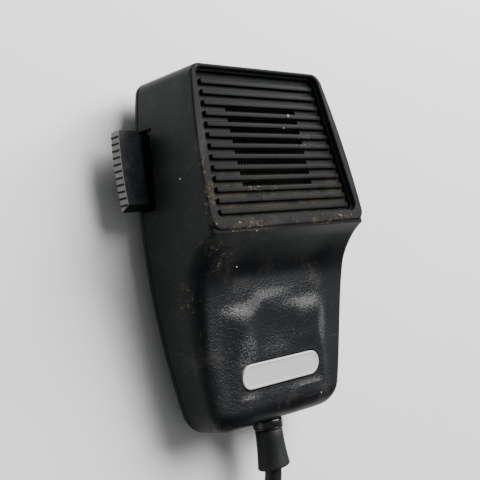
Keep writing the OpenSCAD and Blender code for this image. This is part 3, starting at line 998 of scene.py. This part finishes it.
def case_material():
    material, tree, shader, place = new_material("case_black")
    x, y = wire(tree, "ShaderNodeSeparateXYZ", {"Vector": place}).outputs[:2]
    up = ramp(tree, facing(tree)[2], 0.55, 0.8)
    # The grain covers the front below the grille and fades out before the right edge
    left = ramp(tree, x, -0.0285, -0.026)
    right = ramp(tree, x, 0.0245, 0.020)
    top = ramp(tree, y, (43 + CASE_Y) * MM, (35 + CASE_Y) * MM)
    low = ramp(tree, y, (3 + CASE_Y) * MM, (6 + CASE_Y) * MM)
    grain = times(tree, times(tree, up, left), times(tree, right, times(tree, top, low)))
    mottle = noise(tree, place, 55.0, 5.0)
    # Greenish sides; up-facing faces, the scoop among them, painted a darker bluish black as painted shade;
    # the pad painted greyer as a painted sheen
    base = tint(tree, mottle, (0.0050, 0.0078, 0.0078, 1), (0.0090, 0.0130, 0.0130, 1))
    # Painted shade: faces turned up are drawn darker and bluer than the sides
    base = tint(tree, up, base, (0.0026, 0.0030, 0.0042, 1))
    # Painted sheen: the up-facing pad, out to the right margin, drawn a lighter grey
    pad = times(tree, times(tree, up, left), times(tree, top, low))
    base = tint(tree, pad, base, (0.0125, 0.0134, 0.0156, 1))
    near = patches(tree, place, DIRT)
    drift = use(tree, DUST, Vector=place, Scale=520.0, Amount=scaled(tree, near, 0.17, 0.28))
    crumbs = use(tree, DUST, Vector=place, Scale=1500.0, Amount=0.50)
    dirt = times(tree, drift, ramp(tree, near, 0.0, 0.3), clamp=True)
    dirt = times(tree, dirt, scaled(tree, crumbs, 0.65, 0.35))
    worn = use(tree, EDGE_WEAR, Vector=place, Scale=220.0)
    base = tint(tree, times(tree, worn, 0.08), base, SCUFF)
    colour = tint(tree, times(tree, dirt, 0.8), base, MUD)
    grit = use(tree, SPECKS, Vector=place, Scale=1700.0, Size=0.42, Share=0.5)
    grit = times(tree, grit, dirt)
    colour = tint(tree, times(tree, grit, 0.8), colour, CRUMB)
    film = use(tree, DUST, Vector=place, Scale=90.0, Amount=0.42)
    colour = tint(tree, times(tree, film, 0.10), colour, GREY_DUST)
    specks = use(tree, SPECKS, Vector=place, Scale=190.0, Size=0.05, Share=0.13)
    colour = tint(tree, specks, colour, PALE)
    # Painted highlights: pale grains on the pad's left middle, its right edge and the crest's left arc,
    # standing in for where the light catches the grain
    glint_spots = patches(tree, place, [((-13.5, 20, 17), (5.5, 10, 6)), ((18.6, 24.5, 17.5), (3.2, 9, 6)),
                                   ((-17, 32.5, 18.5), (9, 2.6, 6))])
    glint_grain = noise(tree, place, 2600.0, 2.0)
    glint_grain = times(tree, ramp(tree, glint_grain, 0.5, 0.62), ramp(tree, glint_spots, 0.0, 0.9))
    colour = tint(tree, times(tree, glint_grain, 0.75), colour, GLINT_GREY)
    marks = use(tree, SCRATCHES, Vector=place, Scale=42.0)
    colour = tint(tree, times(tree, marks, 0.12), colour, GREY_DUST)
    rough = scaled(tree, mottle, 0.14, 0.34)
    rough = math_node(tree, "SUBTRACT", rough, times(tree, grain, 0.06))
    matted = times(tree, up, ramp(tree, y, (52 + CASE_Y) * MM, (53 + CASE_Y) * MM))
    rough = plus(tree, rough, times(tree, matted, 0.28))
    rough = plus(tree, rough, times(tree, dirt, 0.4), clamp=True)
    paint(tree, shader, colour, rough, 0.135)
    pebbles = use(tree, PEBBLE, Vector=place, Size=2000.0)
    fine = noise(tree, place, 1800.0, 2.0)
    height = plus(tree, times(tree, pebbles, grain), times(tree, fine, 0.07))
    height = plus(tree, height, times(tree, dirt, 0.5))
    bump(tree, shader, height, 1.0, 0.00018)
    return material


def grille_material():
    material, tree, shader, place = new_material("grille_dusty")
    # Height above the groove floor decides how much dust lies there
    local = wire(tree, "ShaderNodeMapping", {"Vector": place}, vector_type="TEXTURE")
    local.inputs["Location"].default_value = at(0, FACE_Y, FACE_Z)
    local.inputs["Rotation"].default_value = (-FACE_TILT, 0, 0)
    axes = wire(tree, "ShaderNodeSeparateXYZ", {"Vector": local.outputs[0]})
    depth = ramp(tree, axes.outputs[2], -0.0019, -0.0025)
    lower = ramp(tree, axes.outputs[1], 0.034, 0.004)
    amount = wire(tree, "ShaderNodeMapRange", {"Value": lower, "To Min": 0.38, "To Max": 0.55}).outputs[0]
    film = use(tree, DUST, Vector=place, Scale=150.0, Amount=amount)
    grit = use(tree, DUST, Vector=place, Scale=420.0, Amount=0.44)
    mask = larger(tree, times(tree, film, 0.75), times(tree, grit, 0.5))
    mask = times(tree, mask, scaled(tree, depth, 0.8, 0.2), clamp=True)
    crumbs = use(tree, DUST, Vector=place, Scale=1600.0, Amount=0.5)
    mask = times(tree, mask, scaled(tree, crumbs, 0.6, 0.4))
    colour = tint(tree, mask, (0.0040, 0.0048, 0.0062, 1), (0.062, 0.053, 0.039, 1))
    near = patches(tree, place, [((16, 79, 28), (11, 6, 5)), ((-9, 64.5, 29), (11, 4.5, 5))])
    grains = use(tree, SPECKS, Vector=place, Scale=1500.0, Size=0.4, Share=0.4)
    grains = times(tree, grains, times(tree, near, crumbs), clamp=True)
    colour = tint(tree, grains, colour, (0.20, 0.165, 0.11, 1))
    specks = use(tree, SPECKS, Vector=place, Scale=300.0, Size=0.1, Share=0.06)
    colour = tint(tree, specks, colour, (0.34, 0.30, 0.22, 1))
    rough = scaled(tree, mask, 0.45, 0.46, clamp=True)
    paint(tree, shader, colour, rough, 0.045)
    fine = noise(tree, place, 1500.0, 3.0)
    bump(tree, shader, times(tree, fine, plus(tree, mask, 0.15)), 0.6, 0.00018)
    return material


def bar_material(name, dusty):
    material, tree, shader, place = new_material(name)
    normal = facing(tree)
    # Painted light: the outer face, facing -X, is drawn light grey at the strength of the second argument;
    # the front face gets a thin dust film of that grey and brown smears
    outer = ramp(tree, normal[0], -0.5, -0.9)
    front = ramp(tree, normal[2], 0.5, 0.9)
    film = use(tree, DUST, Vector=place, Scale=240.0, Amount=0.47)
    smears = use(tree, DUST, Vector=place, Scale=120.0, Amount=0.44)
    mask = plus(tree, times(tree, times(tree, film, front), 0.05), times(tree, outer, dusty))
    colour = tint(tree, times(tree, mask, 0.85, clamp=True), (0.0095, 0.0115, 0.0140, 1),
                  (0.28, 0.28, 0.27, 1))
    colour = tint(tree, times(tree, times(tree, smears, front), 0.16), colour, BROWN)
    rough = scaled(tree, mask, 0.35, 0.42, clamp=True)
    paint(tree, shader, colour, rough, 0.12)
    fine = noise(tree, place, 1600.0, 3.0)
    bump(tree, shader, fine, 0.3, 0.0001)
    return material


def enamel_material():
    material, tree, shader, place = new_material("badge_enamel")
    stain = use(tree, DUST, Vector=place, Scale=130.0, Amount=0.45)
    specks = use(tree, SPECKS, Vector=place, Scale=420.0, Size=0.12, Share=0.08)
    colour = tint(tree, times(tree, stain, 0.22), (0.52, 0.52, 0.52, 1), (0.36, 0.33, 0.28, 1))
    colour = tint(tree, times(tree, specks, 0.5), colour, (0.12, 0.1, 0.08, 1))
    rough = scaled(tree, stain, 0.2, 0.3)
    paint(tree, shader, colour, rough)
    soft = noise(tree, place, 400.0, 3.0)
    bump(tree, shader, soft, 0.08, 0.0001)
    return material


def plain_material(name, base, other, rough, metal=0.0, scale=300.0, grain=0.2, dust=0.15,
                   gloss=0.5):
    """Moulded or machined stuff: two close tones, fine grain and a little dust."""
    material, tree, shader, place = new_material(name)
    tone = noise(tree, place, scale, 4.0)
    colour = tint(tree, tone, (*base, 1), (*other, 1))
    film = use(tree, DUST, Vector=place, Scale=scale * 0.6, Amount=0.42)
    colour = tint(tree, times(tree, film, dust), colour, GREY_DUST)
    shader.inputs["Metallic"].default_value = metal
    level = wire(tree, "ShaderNodeMapRange", {"Value": tone, "To Min": rough - 0.06,
                                              "To Max": rough + 0.08}).outputs[0]
    level = plus(tree, level, times(tree, film, dust), clamp=True)
    paint(tree, shader, colour, level, gloss)
    fine = noise(tree, place, scale * 5, 2.0)
    bump(tree, shader, fine, grain, 0.0001)
    return material


def cloth_material():
    material, tree, shader, place = new_material("speaker_cloth")
    weave = []
    for axis in ("X", "Y"):
        weave.append(wire(tree, "ShaderNodeTexWave", {"Vector": place, "Scale": 550.0},
                          bands_direction=axis).outputs["Fac"])
    thread = times(tree, weave[0], weave[1])
    colour = tint(tree, thread, (0.002, 0.002, 0.002, 1), (0.02, 0.018, 0.015, 1))
    paint(tree, shader, colour, 0.9)
    bump(tree, shader, thread, 0.6, 0.0002)
    return material


def floor_material():
    material, tree, shader, place = new_material("pale_table")
    cloud = noise(tree, place, 6.0, 4.0)
    colour = tint(tree, cloud, (0.76, 0.77, 0.765, 1), (0.82, 0.83, 0.825, 1))
    grit = use(tree, SPECKS, Vector=place, Scale=60.0, Size=0.035, Share=0.05)
    colour = tint(tree, times(tree, grit, 0.6), colour, (0.25, 0.23, 0.2, 1))
    marks = use(tree, SCRATCHES, Vector=place, Scale=9.0)
    colour = tint(tree, times(tree, marks, 0.08), colour, (0.45, 0.45, 0.44, 1))
    paint(tree, shader, colour, 0.55)
    return material


def dress(piece, material):
    piece.data.materials.clear()
    piece.data.materials.append(material)


case_black = case_material()
grille_dusty = grille_material()
dress(case_shell, case_black)
dress(back_cover, case_black)
dress(grille_panel, grille_dusty)
dress(slot_sieve, grille_dusty)
enamel_white = enamel_material()
bar_dust_and_lit_side = bar_material("bar_dust_and_lit_side", 1.0)
dress(badge, enamel_white)
dress(talk_bar_cap, bar_dust_and_lit_side)
# The pips take the bar's material without the painted light on the outer face, so they show dark on it
dress(talk_bar_pips, bar_material("bar_without_lit_side", 0.0))
COLLAR_GLOSS = plain_material("collar_gloss", (0.003, 0.0032, 0.0036), (0.006, 0.0065, 0.007), 0.24,
                              grain=0.05, dust=0.06)
RUBBER = plain_material("boot_rubber", (0.006, 0.007, 0.008), (0.0115, 0.013, 0.014), 0.5, grain=0.3,
                        dust=0.06, gloss=0.22)
JACKET = plain_material("jacket_rubber", (0.0045, 0.005, 0.0055), (0.009, 0.0095, 0.01), 0.42,
                        grain=0.15, dust=0.05, gloss=0.25)
dress(cord_collar, COLLAR_GLOSS)
dress(cord_boot, RUBBER)
dress(cord_jacket, JACKET)

FINISHES = {"case_plastic": case_black, "grille_plastic": grille_dusty, "bar_plastic": bar_dust_and_lit_side,
            "plate_enamel": enamel_white, "cord_rubber": RUBBER, "cord_jacket": JACKET,
            "bushing_plastic": COLLAR_GLOSS, "dust_cloth": cloth_material()}

# Slot, material, its two tones, roughness, metallic; then tone size and grain of the polished ones
PLAIN_FINISHES = [
    ("switch_plastic", "switch_blue", (0.012, 0.025, 0.05), (0.02, 0.035, 0.07), 0.45, 0.0),
    ("plunger_plastic", "plunger_ivory", (0.6, 0.55, 0.42), (0.68, 0.63, 0.5), 0.4, 0.0),
    ("capsule_alloy", "capsule_alloy", (0.5, 0.5, 0.5), (0.6, 0.6, 0.6), 0.35, 1.0),
    ("magnet_iron", "magnet_iron", (0.2, 0.2, 0.21), (0.28, 0.28, 0.29), 0.45, 1.0),
    ("board_laminate", "board_laminate", (0.2, 0.11, 0.04), (0.26, 0.15, 0.06), 0.5, 0.0),
    ("parts_enamel", "parts_enamel", (0.35, 0.1, 0.04), (0.42, 0.14, 0.06), 0.35, 0.0),
    ("contact_brass", "contact_brass", (0.75, 0.52, 0.2), (0.82, 0.6, 0.28), 0.25, 1.0),
    ("screw_steel", "screw_steel", (0.45, 0.45, 0.46), (0.58, 0.58, 0.58), 0.3, 1.0),
    ("stud_chrome", "stud_chrome", (0.62, 0.62, 0.63), (0.72, 0.72, 0.72), 0.18, 1.0, 300.0, 0.06),
    ("wire_red", "wire_red", (0.4, 0.02, 0.02), (0.5, 0.03, 0.03), 0.4, 0.0),
    ("wire_blue", "wire_blue", (0.02, 0.06, 0.4), (0.03, 0.08, 0.5), 0.4, 0.0),
    ("wire_green", "wire_green", (0.01, 0.12, 0.02), (0.02, 0.18, 0.04), 0.4, 0.0),
    ("plug_nickel", "plug_nickel", (0.5, 0.5, 0.49), (0.62, 0.61, 0.6), 0.28, 1.0, 300.0, 0.08),
    ("ring_nickel", "ring_nickel", (0.45, 0.45, 0.44), (0.58, 0.57, 0.56), 0.34, 1.0),
    ("insert_phenolic", "insert_phenolic", (0.03, 0.017, 0.009), (0.05, 0.03, 0.016), 0.4, 0.0),
]
for slot_name, *look in PLAIN_FINISHES:
    FINISHES[slot_name] = plain_material(*look)


def dress_cad_nodes():
    slot_of = {}
    for entry in frame["record"]["materials"]:
        for name in entry.get("nodes", []):
            slot_of[name] = entry["slot"]
    for name, node in nodes.items():
        for seat in node.material_slots:
            label = seat.material.name.split(".")[0] if seat.material else slot_of.get(name)
            seat.material = FINISHES.get(label, FINISHES["screw_steel"])
            if label not in FINISHES:
                print("no finish for", name, label)


dress(return_spring, FINISHES["screw_steel"])
dress_cad_nodes()


# ---------------------------------------------------------------- room

def add_room():
    deselect()
    bpy.ops.mesh.primitive_plane_add(size=3)
    table = named("table")
    dress(table, floor_material())
    world = bpy.data.worlds.new("room")
    world.use_nodes = True
    bpy.context.scene.world = world
    world.node_tree.nodes["Background"].inputs[0].default_value = (0.97, 0.98, 0.98, 1)
    world.node_tree.nodes["Background"].inputs[1].default_value = 0.26


def add_light(name, place, target, size, power, colour=(1, 1, 1)):
    data = bpy.data.lights.new(name, "AREA")
    data.shape = "RECTANGLE"
    data.size, data.size_y = size
    data.energy = power
    data.color = colour
    light = add_object(name, data)
    place, target = Vector(place), Vector(target)
    light.matrix_world = (Matrix.Translation(place)
                          @ (target - place).to_track_quat("-Z", "Y").to_matrix().to_4x4())


add_room()
add_light("overhead_light", (0.38, 0.48, 0.78), (0, -0.01, 0), (0.9, 0.7), 26, (1.0, 0.995, 0.98))
add_light("window_light", (0.88, 0.50, 0.47), (0, -0.01, 0.02), (0.24, 0.24), 6.4, (1.0, 0.99, 0.97))
